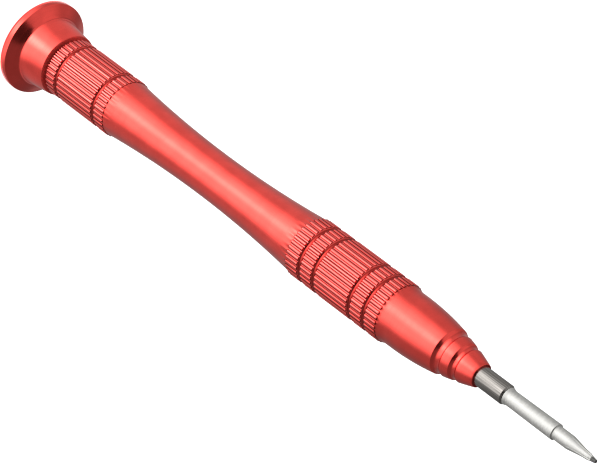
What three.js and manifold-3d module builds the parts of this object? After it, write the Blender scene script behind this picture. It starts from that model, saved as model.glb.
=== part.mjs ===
// Eyeglass screwdriver: a swivelling finger cap, a knurled aluminium handle and a pull-out bit.
// Millimetres. The tool stands on its cap: Z = 0 is the cap's end face, and +Z runs up the axis to the point.
import * as THREE from "three";
import { mergeGeometries, mergeVertices } from "three/addons/utils/BufferGeometryUtils.js";
import Module from "manifold-3d";

const wasm = await Module();
wasm.setup();

// Fits between pieces
const runningClearance = 0.05; // radial, round a pivot
const faceClearance = 0.03; // between faces that slide on each other
const pressGap = 0.02; // round and under a piece that is pressed or screwed home
const slideClearance = 0.04; // each side of the bit's tail in its socket

// Swivel cap
const capRimRadius = 8.05;
const capRimEdge = 1.2;
const capRimChamfer = 0.12;
const capFlareHeight = 1.05;
const capNeckRootRadius = 5.95;
const capNeckEndRadius = 5.33;
const capNeckChamfer = 0.1;
const capLength = 7.3;

// Dished disc in the cap's end
const coverRadius = 6.4;
const coverThickness = 0.8;
const coverInset = 0.3;
const coverDishRadius = 5.8;
const coverDishDepth = 0.25;

// Pivot screw, its washer and the cap's bush
const screwHeadRadius = 2.5;
const screwHeadHeight = 1.4;
const screwHeadGap = 0.3; // from the cover down to the head
const screwHeadRoom = 0.4; // round the head, inside the cap
const screwChamfer = 0.2;
const screwSlotWidth = 0.6;
const screwSlotDepth = 0.6;
const screwShoulderRadius = 1.5;
const screwThreadRadius = 1.25;
const screwThreadLength = 6.0;
const springWasherRadius = 2.4;
const springWasherThickness = 0.3;
const washerBoreRoom = 0.1; // radial, round the screw's shoulder
const bushFlangeRadius = 2.6;
const bushFlangeThickness = 0.5;
const bushRadius = 2.2;
const bushInset = 0.1; // short of the cap's neck end
const thrustWasherRadius = 4.3;
const thrustWasherThickness = 0.5;

// Handle: head grip, waist, main grip and nose, from the cap to the tip
const gripRadius = 5.0;
const headChamfer = 0.15;
const pilotDrillPoint = 0.7;
const pilotSpare = 0.6; // below the thread
const headGripLength = 14.45;
const headGripBevel = 0.2;
const waistRadius = 3.73;
const waistLength = 43.75;
const mainGripStartBevel = 0.35;
const mainGripLength = 19.5;
const mainGripEndBevel = 0.65;
const noseRadius = 4.61;
const noseLandLength = 1.6;
const noseArcLength = 15.45;
const noseEndRadius = 2.0;
const noseGroove1FromEnd = 6.8;
const noseGroove1Width = 1.5;
const noseGroove2FromEnd = 3.9;
const noseGroove2Width = 1.25;
const noseGrooveDepth = 0.35;
const noseLedge1 = 0.1; // how far the nose lies below its ogive past the first groove
const noseLedge2 = 0.055; // and past the second

// Straight knurl and the ring grooves that divide it
const ridgeCount = 36;
const ridgeTopWidth = 0.25;
const valleyFloorWidth = 0.22;
const knurlDepth = 0.2;
const ringGrooveInset = 2.5; // from a grip's end to the first groove
const mainRingGrooveInset = 2.8; // from the main grip's start to its first groove
const ringGroovePitch = 3.15; // on to the second groove
const ringGrooveWidth = 0.9;
const ringGrooveFloorWidth = 0.3;
const ringGrooveDepth = 0.42;

// Steel socket in the nose and the magnet at its bottom
const socketRadius = 1.6;
const socketDepth = 9.6; // inside the nose
const socketProjection = 5.45; // out of the nose
const socketChamfer = 0.27;
const socketHexFlats = 2.0;
const magnetRadius = 1.25;
const magnetLength = 3.2;

// Bit
const bitSeatGap = 0.06; // from the socket's end to the collar
const bitCollarRadius = 1.4;
const bitCollarEdge = 0.08;
const bitCollarCone = 0.5;
const shankStartRadius = 1.245;
const shankEndRadius = 1.31;
const shankLength = 9.15;
const shankShoulderCone = 0.08;
const neckRadius = 1.09;
const neckLength = 2.7;
const coneLength = 2.5;
const coneEndRadius = 0.66;
const taperLength = 1.22;
const taperEndRadius = 0.55;
const nibStepCone = 0.4;
const nibRadius = 0.42;
const nibLength = 0.9;
const nibEndRadius = 0.27;
const pointCone = 0.16;
const fluteLength = 1.2;
const wingThickness = 0.22;
const fluteLean = 0.12; // radians, runs the flutes out up the nib

// Facets round every turned face, one flat per ridge; flats touch the true circle
const facets = 36;
const facetRadiusFactor = 1 / Math.cos(Math.PI / facets);
const cutOver = 0.5; // how far a cutter runs past the faces that it opens
const valleyCutOver = 0.05; // the same for the knurl's cutters, which must not meet each other

// Heights along the axis that follow from the sizes above
const capRecessFloor = coverInset + coverThickness + pressGap;
const screwHeadTop = coverInset + coverThickness + screwHeadGap;
const screwHeadUnder = screwHeadTop + screwHeadHeight;
const springWasherStart = screwHeadUnder + faceClearance;
const bushFlangeStart = springWasherStart + springWasherThickness + faceClearance;
const bushFlangeEnd = bushFlangeStart + bushFlangeThickness;
const capChamberFloor = bushFlangeEnd + pressGap;
const thrustWasherStart = capLength + faceClearance;
const barrelStart = thrustWasherStart + thrustWasherThickness + pressGap;
const threadEnd = barrelStart + screwThreadLength;
const headGripEnd = barrelStart + headGripLength;
const waistStart = headGripEnd + headGripBevel;
const waistEnd = waistStart + waistLength;
const mainGripStart = waistEnd + mainGripStartBevel;
const mainGripEnd = mainGripStart + mainGripLength;
const noseStart = mainGripEnd + mainGripEndBevel;
const noseArcStart = noseStart + noseLandLength;
const noseEnd = noseArcStart + noseArcLength;
const socketStart = noseEnd - socketDepth;
const socketEnd = noseEnd + socketProjection;
const magnetStart = socketStart + pressGap;
const magnetEnd = magnetStart + magnetLength;
const socketPocketEnd = magnetEnd + pressGap;
const tailEnd = socketPocketEnd + faceClearance;
const bitCollarStart = socketEnd + bitSeatGap;
const shankStart = bitCollarStart + bitCollarEdge + bitCollarCone;
const shankEnd = shankStart + shankLength;
const neckStart = shankEnd + shankShoulderCone;
const coneStart = neckStart + neckLength;
const taperStart = coneStart + coneLength;
const taperEnd = taperStart + taperLength;
const nibStart = taperEnd + nibStepCone;
const nibEnd = nibStart + nibLength;
const tipEnd = nibEnd + pointCone;

const valleyFloorRadius = gripRadius - knurlDepth;

// A closed geometry as a solid that can be joined and cut
function solidOf(geometry) {
  const plain = geometry.clone();
  plain.deleteAttribute("normal");
  plain.deleteAttribute("uv");
  const merged = mergeVertices(plain, 1e-4);
  return new wasm.Manifold(
    new wasm.Mesh({
      numProp: 3,
      vertProperties: merged.attributes.position.array,
      triVerts: new Uint32Array(merged.index.array),
    }),
  );
}

function geometryOf(solid) {
  const { vertProperties, triVerts } = solid.getMesh();
  const geometry = new THREE.BufferGeometry();
  geometry.setAttribute("position", new THREE.BufferAttribute(vertProperties, 3));
  geometry.setIndex(new THREE.BufferAttribute(triVerts, 1));
  geometry.computeVertexNormals();
  return geometry;
}

// A piece turned about Z from [radius, height] points, with a flat of every face towards -Y
function turned(profile) {
  const points = profile.map(([radius, height]) => new THREE.Vector2(radius * facetRadiusFactor, height));
  return new THREE.LatheGeometry(points, facets, Math.PI / facets).rotateX(Math.PI / 2);
}

// A plain ring from its bore to its outside, between two heights
function ring(boreRadius, outerRadius, start, end) {
  return turned([
    [boreRadius, start],
    [outerRadius, start],
    [outerRadius, end],
    [boreRadius, end],
    [boreRadius, start],
  ]);
}

// Points of a circular arc between two profile points; a positive sag bulges out from the axis
function arc([r0, z0], [r1, z1], sag, steps) {
  const middle = new THREE.Vector2((r0 + r1) / 2, (z0 + z1) / 2);
  const chord = new THREE.Vector2(r1 - r0, z1 - z0);
  const half = chord.length() / 2;
  const outward = new THREE.Vector2(chord.y, -chord.x).normalize();
  const radius = (half * half + sag * sag) / (2 * sag);
  const centre = middle.clone().addScaledVector(outward, sag - radius);
  const start = new THREE.Vector2(r0, z0).sub(centre);
  const sweep = 4 * Math.atan(sag / half);
  const points = [];
  for (let i = 0; i <= steps; i++) {
    const p = start.clone().rotateAround(new THREE.Vector2(), (sweep * i) / steps).add(centre);
    points.push([p.x, p.y]);
  }
  return points;
}

// An upright hexagonal bar, flats across given, between two heights
function hexBar(flats, start, end) {
  const corner = flats / Math.sqrt(3);
  return new THREE.CylinderGeometry(corner, corner, end - start, 6)
    .rotateX(Math.PI / 2)
    .translate(0, 0, (start + end) / 2);
}

// The ring grooves of a grip, each a trapezoid in the grip's profile, from their middle heights
function ringGrooves(middles) {
  const floorRadius = gripRadius - ringGrooveDepth;
  return middles.flatMap((middle) => [
    [gripRadius, middle - ringGrooveWidth / 2],
    [floorRadius, middle - ringGrooveFloorWidth / 2],
    [floorRadius, middle + ringGrooveFloorWidth / 2],
    [gripRadius, middle + ringGrooveWidth / 2],
  ]);
}

// The cutters of a knurl's valleys between two heights, one between each two ridges
function valleyCutters(start, end) {
  const outerRadius = gripRadius * facetRadiusFactor + valleyCutOver;
  const pitch = (2 * Math.PI * gripRadius) / ridgeCount;
  const flankRun = (pitch - ridgeTopWidth - valleyFloorWidth) / 2;
  const floorHalf = valleyFloorWidth / 2;
  const outerHalf = floorHalf + (flankRun * (outerRadius - valleyFloorRadius)) / knurlDepth;
  const section = new THREE.Shape([
    new THREE.Vector2(-floorHalf, -valleyFloorRadius),
    new THREE.Vector2(-outerHalf, -outerRadius),
    new THREE.Vector2(outerHalf, -outerRadius),
    new THREE.Vector2(floorHalf, -valleyFloorRadius),
  ]);
  const cutters = [];
  for (let i = 0; i < ridgeCount; i++) {
    const cutter = new THREE.ExtrudeGeometry(section, { depth: end - start, bevelEnabled: false });
    cutters.push(cutter.rotateZ((2 * Math.PI * (i + 0.5)) / ridgeCount).translate(0, 0, start));
  }
  return solidOf(mergeGeometries(cutters));
}

function swivelCap() {
  const bore = bushRadius + pressGap;
  const chamber = screwHeadRadius + screwHeadRoom;
  const recess = coverRadius + pressGap;
  return turned([
    [recess, 0],
    [capRimRadius - capRimChamfer, 0],
    [capRimRadius, capRimChamfer],
    [capRimRadius, capRimEdge - capRimChamfer],
    [capRimRadius - capRimChamfer, capRimEdge],
    [capNeckRootRadius, capRimEdge + capFlareHeight],
    [capNeckEndRadius, capLength - capNeckChamfer],
    [capNeckEndRadius - capNeckChamfer, capLength],
    [bore, capLength],
    [bore, capChamberFloor],
    [chamber, capChamberFloor],
    [chamber, capRecessFloor],
    [recess, capRecessFloor],
    [recess, 0],
  ]);
}

function capCover() {
  const back = coverInset + coverThickness;
  const bottom = [0, coverInset + coverDishDepth];
  const edge = [coverDishRadius, coverInset];
  const half = Math.hypot(coverDishRadius, coverDishDepth) / 2;
  const bowlRadius = (coverDishRadius ** 2 + coverDishDepth ** 2) / (2 * coverDishDepth);
  const sag = bowlRadius - Math.sqrt(bowlRadius ** 2 - half ** 2);
  return turned([...arc(bottom, edge, -sag, 4), [coverRadius, coverInset], [coverRadius, back], [0, back]]);
}

function capBush() {
  const bore = screwShoulderRadius + runningClearance;
  const end = capLength - bushInset;
  return turned([
    [bore, bushFlangeStart],
    [bushFlangeRadius, bushFlangeStart],
    [bushFlangeRadius, bushFlangeEnd],
    [bushRadius, bushFlangeEnd],
    [bushRadius, end],
    [bore, end],
    [bore, bushFlangeStart],
  ]);
}

function pivotScrew() {
  const seat = barrelStart - pressGap;
  const body = turned([
    [0, screwHeadTop],
    [screwHeadRadius - screwChamfer, screwHeadTop],
    [screwHeadRadius, screwHeadTop + screwChamfer],
    [screwHeadRadius, screwHeadUnder],
    [screwShoulderRadius, screwHeadUnder],
    [screwShoulderRadius, seat],
    [screwThreadRadius, seat],
    [screwThreadRadius, threadEnd - screwChamfer],
    [screwThreadRadius - screwChamfer, threadEnd],
    [0, threadEnd],
  ]);
  const slotLength = 2 * (screwHeadRadius * facetRadiusFactor + cutOver);
  const slot = new THREE.BoxGeometry(slotLength, screwSlotWidth, 2 * screwSlotDepth);
  return geometryOf(solidOf(body).subtract(solidOf(slot.translate(0, 0, screwHeadTop))));
}

function springWasher() {
  const end = springWasherStart + springWasherThickness;
  return ring(screwShoulderRadius + washerBoreRoom, springWasherRadius, springWasherStart, end);
}

function thrustWasher() {
  const end = thrustWasherStart + thrustWasherThickness;
  return ring(screwShoulderRadius + washerBoreRoom, thrustWasherRadius, thrustWasherStart, end);
}

// The nose's ogive leaves its land smoothly and reaches its end radius on one circular arc
function noseRadiusAt(height) {
  const drop = noseRadius - noseEndRadius;
  const arcRadius = (noseArcLength ** 2 + drop ** 2) / (2 * drop);
  const along = height - noseArcStart;
  return noseRadius - arcRadius + Math.sqrt(arcRadius ** 2 - along ** 2);
}

function noseArc(start, end, steps, ledge = 0) {
  const points = [];
  for (let i = 0; i <= steps; i++) {
    const height = start + ((end - start) * i) / steps;
    points.push([noseRadiusAt(height) - ledge, height]);
  }
  return points;
}

// The ogive with its two round grooves, from the end of the land to the nose's end
function noseProfile() {
  const groove = (fromEnd, width, ledgeBefore, ledgeAfter) => {
    const start = noseEnd - fromEnd;
    const end = start + width;
    const from = [noseRadiusAt(start) - ledgeBefore, start];
    const to = [noseRadiusAt(end) - ledgeAfter, end];
    return arc(from, to, -noseGrooveDepth, 5);
  };
  const first = groove(noseGroove1FromEnd, noseGroove1Width, 0, noseLedge1);
  const second = groove(noseGroove2FromEnd, noseGroove2Width, noseLedge1, noseLedge2);
  const between = first.at(-1)[1];
  const after = second.at(-1)[1];
  return [
    ...noseArc(noseArcStart, noseEnd - noseGroove1FromEnd, 4).slice(0, -1),
    ...first,
    ...noseArc(between, noseEnd - noseGroove2FromEnd, 2, noseLedge1).slice(1, -1),
    ...second,
    ...noseArc(after, noseEnd, 3, noseLedge2).slice(1),
  ];
}

function handleBarrel() {
  const pilot = screwThreadRadius + pressGap;
  const pilotEnd = threadEnd + pilotSpare;
  const bore = socketRadius + pressGap;
  const boreFloor = socketStart - pressGap;
  const waistSag = waistRadius - valleyFloorRadius;
  const body = turned([
    [0, pilotEnd + pilotDrillPoint],
    [pilot, pilotEnd],
    [pilot, barrelStart],
    [gripRadius - headChamfer, barrelStart],
    [gripRadius, barrelStart + headChamfer],
    ...ringGrooves([barrelStart + ringGrooveInset, headGripEnd - ringGrooveInset]),
    [gripRadius, headGripEnd],
    ...arc([valleyFloorRadius, waistStart], [valleyFloorRadius, waistEnd], waistSag, 8),
    [gripRadius, mainGripStart],
    ...ringGrooves([
      mainGripStart + mainRingGrooveInset,
      mainGripStart + mainRingGrooveInset + ringGroovePitch,
      mainGripEnd - ringGrooveInset - ringGroovePitch,
      mainGripEnd - ringGrooveInset,
    ]),
    [gripRadius, mainGripEnd],
    [noseRadius, noseStart],
    ...noseProfile(),
    [bore, noseEnd],
    [bore, boreFloor],
    [0, boreFloor],
  ]);
  const headValleys = valleyCutters(barrelStart - cutOver, waistStart);
  const mainValleys = valleyCutters(waistEnd, noseStart);
  return geometryOf(solidOf(body).subtract(headValleys).subtract(mainValleys));
}

function bitSocket() {
  const pocket = magnetRadius + pressGap;
  const body = turned([
    [0, socketPocketEnd],
    [pocket, socketPocketEnd],
    [pocket, socketStart],
    [socketRadius, socketStart],
    [socketRadius, socketEnd - socketChamfer],
    [socketRadius - socketChamfer, socketEnd],
    [0, socketEnd],
  ]);
  const hexBore = hexBar(socketHexFlats, socketPocketEnd - cutOver, socketEnd + cutOver);
  return geometryOf(solidOf(body).subtract(solidOf(hexBore)));
}

function socketMagnet() {
  return turned([
    [0, magnetStart],
    [magnetRadius, magnetStart],
    [magnetRadius, magnetEnd],
    [0, magnetEnd],
  ]);
}

// The turned bit on its hexagonal tail, with four flutes that leave a cross at the point
function driverBit() {
  const body = turned([
    [0, bitCollarStart],
    [bitCollarRadius, bitCollarStart],
    [bitCollarRadius, bitCollarStart + bitCollarEdge],
    [shankStartRadius, shankStart],
    [shankEndRadius, shankEnd],
    [neckRadius, neckStart],
    [neckRadius, coneStart],
    [coneEndRadius, taperStart],
    [taperEndRadius, taperEnd],
    [nibRadius, nibStart],
    [nibEndRadius, nibEnd],
    [0, tipEnd],
  ]);
  const tail = hexBar(socketHexFlats - 2 * slideClearance, tailEnd, bitCollarStart + bitCollarEdge);
  let bit = solidOf(body).add(solidOf(tail));
  const width = 2 * nibRadius;
  const length = fluteLength + cutOver;
  for (let i = 0; i < 4; i++) {
    const flute = new THREE.BoxGeometry(width, width, length)
      .translate((width + wingThickness) / 2, (width + wingThickness) / 2, length / 2 - cutOver)
      .rotateX(Math.PI)
      .rotateZ(-Math.PI / 4)
      .rotateY(-fluteLean)
      .rotateZ(Math.PI / 4 + (Math.PI / 2) * i)
      .translate(0, 0, tipEnd);
    bit = bit.subtract(solidOf(flute));
  }
  return geometryOf(bit);
}

// Finishes
const redAluminium = { color: 0xc8322d, roughness: 0.38, metalness: 0.85 };
const gunmetalSteel = { color: 0x77746e, roughness: 0.35, metalness: 1 };
const brightSteel = { color: 0xc9c8c4, roughness: 0.3, metalness: 1 };
const bronze = { color: 0xa9793f, roughness: 0.45, metalness: 1 };
const darkPolymer = { color: 0x1d1a1a, roughness: 0.7, metalness: 0 };
const nickel = { color: 0xa8a6a0, roughness: 0.3, metalness: 1 };

const tool = new THREE.Group();

function addPiece(name, geometry, finish) {
  const mesh = new THREE.Mesh(geometry, new THREE.MeshStandardMaterial(finish));
  mesh.name = name;
  tool.add(mesh);
}

addPiece("swivel_cap", swivelCap(), redAluminium);
addPiece("cap_cover", capCover(), redAluminium);
addPiece("cap_bush", capBush(), bronze);
addPiece("pivot_screw", pivotScrew(), brightSteel);
addPiece("spring_washer", springWasher(), brightSteel);
addPiece("thrust_washer", thrustWasher(), darkPolymer);
addPiece("handle_barrel", handleBarrel(), redAluminium);
addPiece("bit_socket", bitSocket(), gunmetalSteel);
addPiece("socket_magnet", socketMagnet(), nickel);
addPiece("driver_bit", driverBit(), brightSteel);

export default tool;
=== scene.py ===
"""An eyeglass screwdriver, dressed round its CAD frame.

It has a swivelling finger cap, a knurled red handle and a pull-out bit.
"""

import math

import bmesh
import bpy
from mathutils import Euler, Matrix, Vector


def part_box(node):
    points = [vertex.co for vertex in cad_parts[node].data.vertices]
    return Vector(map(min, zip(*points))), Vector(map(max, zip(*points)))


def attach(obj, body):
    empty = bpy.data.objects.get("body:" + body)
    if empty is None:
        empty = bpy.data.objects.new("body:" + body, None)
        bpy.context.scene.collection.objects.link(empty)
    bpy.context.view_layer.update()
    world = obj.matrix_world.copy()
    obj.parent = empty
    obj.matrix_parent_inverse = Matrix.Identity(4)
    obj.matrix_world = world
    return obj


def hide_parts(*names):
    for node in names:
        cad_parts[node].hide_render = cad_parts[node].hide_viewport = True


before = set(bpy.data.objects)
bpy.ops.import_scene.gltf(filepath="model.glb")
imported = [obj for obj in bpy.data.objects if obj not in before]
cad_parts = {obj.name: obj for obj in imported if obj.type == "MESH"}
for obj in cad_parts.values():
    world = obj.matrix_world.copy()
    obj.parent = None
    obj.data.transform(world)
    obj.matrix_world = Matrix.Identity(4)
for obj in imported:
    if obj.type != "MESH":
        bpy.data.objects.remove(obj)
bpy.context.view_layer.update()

bl_info = {
    "name": "Eyeglass Screwdriver",
    "version": (1, 0, 0),
    "blender": (4, 5, 0),
    "location": "View3D > Sidebar > Screwdriver",
    "description": "Builds the pieces, finishes and studio of a small red screwdriver with a swivel cap",
    "category": "Object",
}

MM = 0.001
MERGE = 5e-7
AXIS = Vector((0, 0, 1))
ORIGIN = Vector((0, 0, 0))

# Steps and columns of the meshes
SMOOTH_COLUMNS = 144
COARSE_COLUMNS = SMOOTH_COLUMNS // 2
ROUND_SEGMENTS = 3
DISH_STEPS = 10
RING_STEPS = 10
WAIST_STEPS = 26
OGIVE_STEPS = 14, 3, 5
NOSE_GROOVE_STEPS = 12
NIB_STEPS = 6
FLUTE_STEPS = 10
CREASE = math.radians(38)

# Counts and sizes that aren't settings
WINGS = 4
WASHER_BORE = 1.6 * MM
MATT_END = 0.03 * MM
# Share of a hexagon's flats that lies just past its corners
PAST_CORNER = 0.6
# A knurl's flank from the ridge's top down, as shares of its width and depth: straight, with small rounds
FLANK = ((0, 0), (0.08, 0.03), (0.16, 0.1), (0.9, 0.95), (1, 1))

# Marks in the finishes: scales, noise detail and roughness, and the ranges that they cover
LATHE_RINGS = 1.2, 6.0
RING_RANGE = 0.3, 0.75
RING_SHARE = 0.35
RING_SHADE = 0.85
GRAIN = 4.0, 0.6
CLOUD_SCALE = 0.35
CLOUD_RANGE = 0.35, 0.65
CLOUD_SHADES = 0.94, 1.05
STREAK_RANGE = 0.3, 0.7
ROUGH_RANGE = 0.25, 0.75
ROUGH_SWING = 0.05
BUMP_STRENGTH = 0.5
RED_RELIEF = 0.004 * MM
STEEL_RELIEF = 0.003 * MM
MOTTLE = 3.0, 3.0
MOTTLE_SHADES = 0.7, 1.4
POLYMER_ROUGH = 0.45, 0.6
BRONZE_ROUGH = 0.4
NICKEL_ROUGH = 0.3

# Streaks of each steel: scale round the tool, scale along it and contrast
TURNED = 9.0, 0.12, 0.35
GROUND = 2.0, 7.0, 0.12
BEARING = 1.5, 6.0, 0.15
PLATED = 2.0, 2.0, 0.08

# Where a finish fades into another, in millimetres, and what it becomes
GRIP_FADE = 0.1
MATT_FADE = 0.02
MATT_METAL = 0.4
NIB_FADE = 0.12
NIB_SHADE = 0.2

# Painted shade and painted highlight on the knurl, as shares of the way from the valley's radius to the
# crest's
LOW_FLANK = (0.0, 0.08), (0.32, 0.62)
VALLEY_FLOOR = (-0.12, -0.04), (0.02, 0.1)
GROOVE_WALL = -0.7, -0.1
RIDGE_TOP = 0.5, 0.95
HIGHLIGHT_SHARE = 0.34

# Edges of the light, as headings round the tool
CORE_EDGE = math.radians(22)
RIGHT_EDGE = math.radians(34), math.radians(76)
LEFT_EDGE = math.radians(-66), math.radians(-18)
SIDES = math.radians(-60), math.radians(60)
BACK = math.radians(85), math.radians(140)
# Edges of the light, as millimetres from the tool's axis
# Painted contact shadow: where the light table is dimmed beside the cap
CONTACT_SHADOW = 8.5, 12.5
NEAR = 25, 60
FAR = 70, 200
# Edges of the light, as parts of a direction to the sky
LEFT_PANEL = -0.28, -0.2
RIGHT_PANEL = 0.22, 0.34
BEHIND = 0.2, 0.5
HORIZON = 0.12, 0.42

# The studio: lengths in metres, the sensor in millimetres and the filter in pixels
SENSOR_MM = 36
CLIP = 0.01, 20
FLOOR_SIZE = 4
FLOOR_DROP = 0.02 * MM
FLOOR_GREY = (0.8, 0.8, 0.8, 1)
TABLE_INNER, TABLE_OUTER, TABLE_HEIGHT = 8.3 * MM, 3.9, 0.1 * MM
BOX_SIZE, BOX_HEIGHT = 0.8, 0.6
PIXEL_FILTER = 1.2


def bottom(node):
    """The lowest height of a CAD node."""
    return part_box(node)[0].z


def top(node):
    """The greatest height of a CAD node."""
    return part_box(node)[1].z


def reach(node):
    """The outer radius of a turned CAD node."""
    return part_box(node)[1].y


def length(label, tip, metres):
    """A size that a user may change."""
    return bpy.props.FloatProperty(
        name=label, description=tip, default=metres, min=0, precision=5, unit="LENGTH"
    )


def share(label, tip, value):
    """A plain share from 0 to 1."""
    return bpy.props.FloatProperty(
        name=label, description=tip, default=value, min=0, max=1, subtype="FACTOR"
    )


def turn(label, tip, degrees):
    """An angle that a user may change."""
    return bpy.props.FloatProperty(
        name=label, description=tip, default=math.radians(degrees), subtype="ANGLE"
    )


def number(label, tip, value):
    """A plain number that a user may change."""
    return bpy.props.FloatProperty(name=label, description=tip, default=value, min=0)


def colour(label, tip, rgb):
    """A surface colour, linear."""
    return bpy.props.FloatVectorProperty(
        name=label, description=tip, default=rgb, size=3, min=0, max=1, subtype="COLOR"
    )


class CapSizes(bpy.types.PropertyGroup):
    """The swivel cap and the dished cover in its end"""

    rim_radius: length("Rim radius", "Radius of the finger rim", reach("swivel_cap"))
    rim_edge: length("Rim edge", "Height of the rim's upright edge", 1.2 * MM)
    rim_round: length("Rim rounding", "Rounding of the rim's edges", 0.14 * MM)
    flare_height: length("Flare height", "Height of the flare from the rim to the neck", 1.05 * MM)
    neck_root: length("Neck root radius", "Radius of the neck where it meets the flare", 5.95 * MM)
    root_round: length("Neck root rounding", "Fillet between the flare and the neck", 0.35 * MM)
    neck_end: length("Neck end radius", "Radius of the neck at the handle", 5.33 * MM)
    neck_round: length("Neck end rounding", "Rounding of the neck's end", 0.1 * MM)
    bore: length("Bush bore", "Radius of the bore that holds the bush", 2.22 * MM)
    chamber: length("Chamber radius", "Radius of the chamber round the screw's head", 2.9 * MM)
    chamber_floor: length("Chamber floor", "Height of the face that the bush's flange sits on", 3.68 * MM)
    cover_gap: length("Cover gap", "Gap round and behind the pressed-in cover", 0.02 * MM)
    dish_radius: length("Dish radius", "Radius of the cover's dished middle", 5.8 * MM)
    dish_depth: length("Dish depth", "Depth of the cover's dish", 0.25 * MM)


class HandleSizes(bpy.types.PropertyGroup):
    """The handle's outline from the cap to the nose"""

    grip_radius: length("Grip radius", "Radius over the knurl's ridges", reach("handle_barrel"))
    end_chamfer: length("End chamfer", "Chamfer at the handle's cap end", 0.15 * MM)
    pilot: length("Pilot bore", "Radius of the bore that takes the pivot screw", 1.27 * MM)
    pilot_depth: length("Pilot depth", "Depth of the pivot screw's bore", 6.6 * MM)
    drill_point: length("Drill point", "Depth of the cone at the bore's bottom", 0.7 * MM)
    head_grip: length("Head grip length", "Length of the knurl next to the cap", 14.45 * MM)
    head_bevel: length("Head grip bevel", "Length of the bevel that runs into the waist", 0.2 * MM)
    waist_radius: length("Waist radius", "Smallest radius of the waist", 3.73 * MM)
    waist: length("Waist length", "Length of the smooth waist", 43.75 * MM)
    main_start_bevel: length("Main grip start bevel", "Length of the bevel out of the waist", 0.35 * MM)
    main_grip: length("Main grip length", "Length of the knurl next to the nose", 19.5 * MM)
    main_end_bevel: length("Main grip end bevel", "Length of the bevel into the nose", 0.65 * MM)
    nose_radius: length("Nose radius", "Radius of the nose's land", 4.61 * MM)
    nose_land: length("Nose land", "Length of the straight start of the nose", 1.6 * MM)
    nose_end: length("Nose end radius", "Radius of the nose at its end", 2.0 * MM)
    end_round: length("Nose end rounding", "Rounding of the nose's end", 0.08 * MM)
    groove_1: length("First groove", "From the nose's end back to the first groove", 6.8 * MM)
    groove_1_width: length("First groove width", "Width of the first nose groove", 1.5 * MM)
    groove_2: length("Second groove", "From the nose's end back to the second groove", 3.9 * MM)
    groove_2_width: length("Second groove width", "Width of the second nose groove", 1.25 * MM)
    groove_depth: length("Nose groove depth", "Depth of the nose grooves", 0.35 * MM)
    groove_round: length("Nose groove rounding", "Rounding of the nose grooves' edges", 0.05 * MM)
    ledge_1: length("First ledge", "How far the nose lies below its ogive past the first groove", 0.1 * MM)
    ledge_2: length(
        "Second ledge", "How far the nose lies below its ogive past the second groove", 0.055 * MM
    )
    socket_gap: length("Socket gap", "Gap round the pressed-in socket", 0.02 * MM)


class KnurlSizes(bpy.types.PropertyGroup):
    """The straight knurl and the ring grooves that divide it"""

    ridges: bpy.props.IntProperty(
        name="Ridges", description="Number of ridges round a grip", default=36, min=8
    )
    top_width: length("Ridge top", "Width of the flat on a ridge's top", 0.12 * MM)
    floor_width: length("Valley floor", "Width of the flat between two ridges", 0.12 * MM)
    depth: length("Knurl depth", "Depth of the valleys", 0.2 * MM)
    ring_inset: length("Ring inset", "From a grip's end to its first ring groove", 2.5 * MM)
    main_ring_inset: length(
        "Main ring inset", "From the main grip's start to its first ring groove", 2.8 * MM
    )
    ring_pitch: length("Ring pitch", "From the first ring groove to the second", 3.15 * MM)
    ring_width: length("Ring width", "Width of a ring groove", 0.9 * MM)
    ring_depth: length("Ring depth", "Depth of a ring groove", 0.42 * MM)
    ring_round: length("Ring rounding", "Rounding of a ring groove's lips", 0.04 * MM)


class SocketSizes(bpy.types.PropertyGroup):
    """The steel socket in the nose"""

    radius: length("Socket radius", "Radius of the steel socket", reach("bit_socket"))
    chamfer: length("Socket chamfer", "Chamfer at the socket's mouth", 0.27 * MM)
    hex_flats: length("Hexagon", "Width across the flats of the socket's bore", 2.0 * MM)
    pocket: length("Magnet pocket", "Radius of the pocket that holds the magnet", 1.27 * MM)
    pocket_depth: length("Pocket depth", "Depth of the magnet's pocket", 3.24 * MM)


class BitSizes(bpy.types.PropertyGroup):
    """The bit from its hexagonal tail to its point"""

    tail_flats: length("Tail hexagon", "Width across the flats of the tail", 1.92 * MM)
    seat_gap: length("Seat gap", "From the socket's end to the collar", 0.06 * MM)
    collar_radius: length("Collar radius", "Radius of the collar", reach("driver_bit"))
    collar_edge: length("Collar edge", "Height of the collar's upright edge", 0.08 * MM)
    collar_cone: length("Collar cone", "Length of the cone from the collar to the shank", 0.5 * MM)
    shank_start: length("Shank start radius", "Radius of the shank at the collar", 1.245 * MM)
    shank_end: length("Shank end radius", "Radius of the shank at its shoulder", 1.31 * MM)
    shank: length("Shank length", "Length of the shank", 9.15 * MM)
    shoulder: length("Shoulder", "Length of the shank's end shoulder", 0.08 * MM)
    neck_radius: length("Neck radius", "Radius of the neck past the shank", 1.09 * MM)
    neck: length("Neck length", "Length of the neck", 2.7 * MM)
    cone: length("Cone length", "Length of the ground cone", 2.5 * MM)
    cone_end: length("Cone end radius", "Radius at the cone's end", 0.66 * MM)
    taper: length("Taper length", "Length of the taper past the cone", 1.22 * MM)
    taper_end: length("Taper end radius", "Radius at the taper's end", 0.55 * MM)
    nib_step: length("Nib step", "Length of the step down to the nib", 0.4 * MM)
    nib_radius: length("Nib radius", "Radius where the nib starts", 0.42 * MM)
    nib: length("Nib length", "Length of the nib", 0.9 * MM)
    nib_end: length("Nib end radius", "Radius at the nib's end", 0.27 * MM)
    point: length("Point", "Length of the cone at the very end", 0.16 * MM)
    wing: length("Wing thickness", "Thickness of the cross point's wings", 0.22 * MM)
    flute_lean: turn("Flute lean", "Angle at which the flutes run out up the nib", 6.9)


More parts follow.
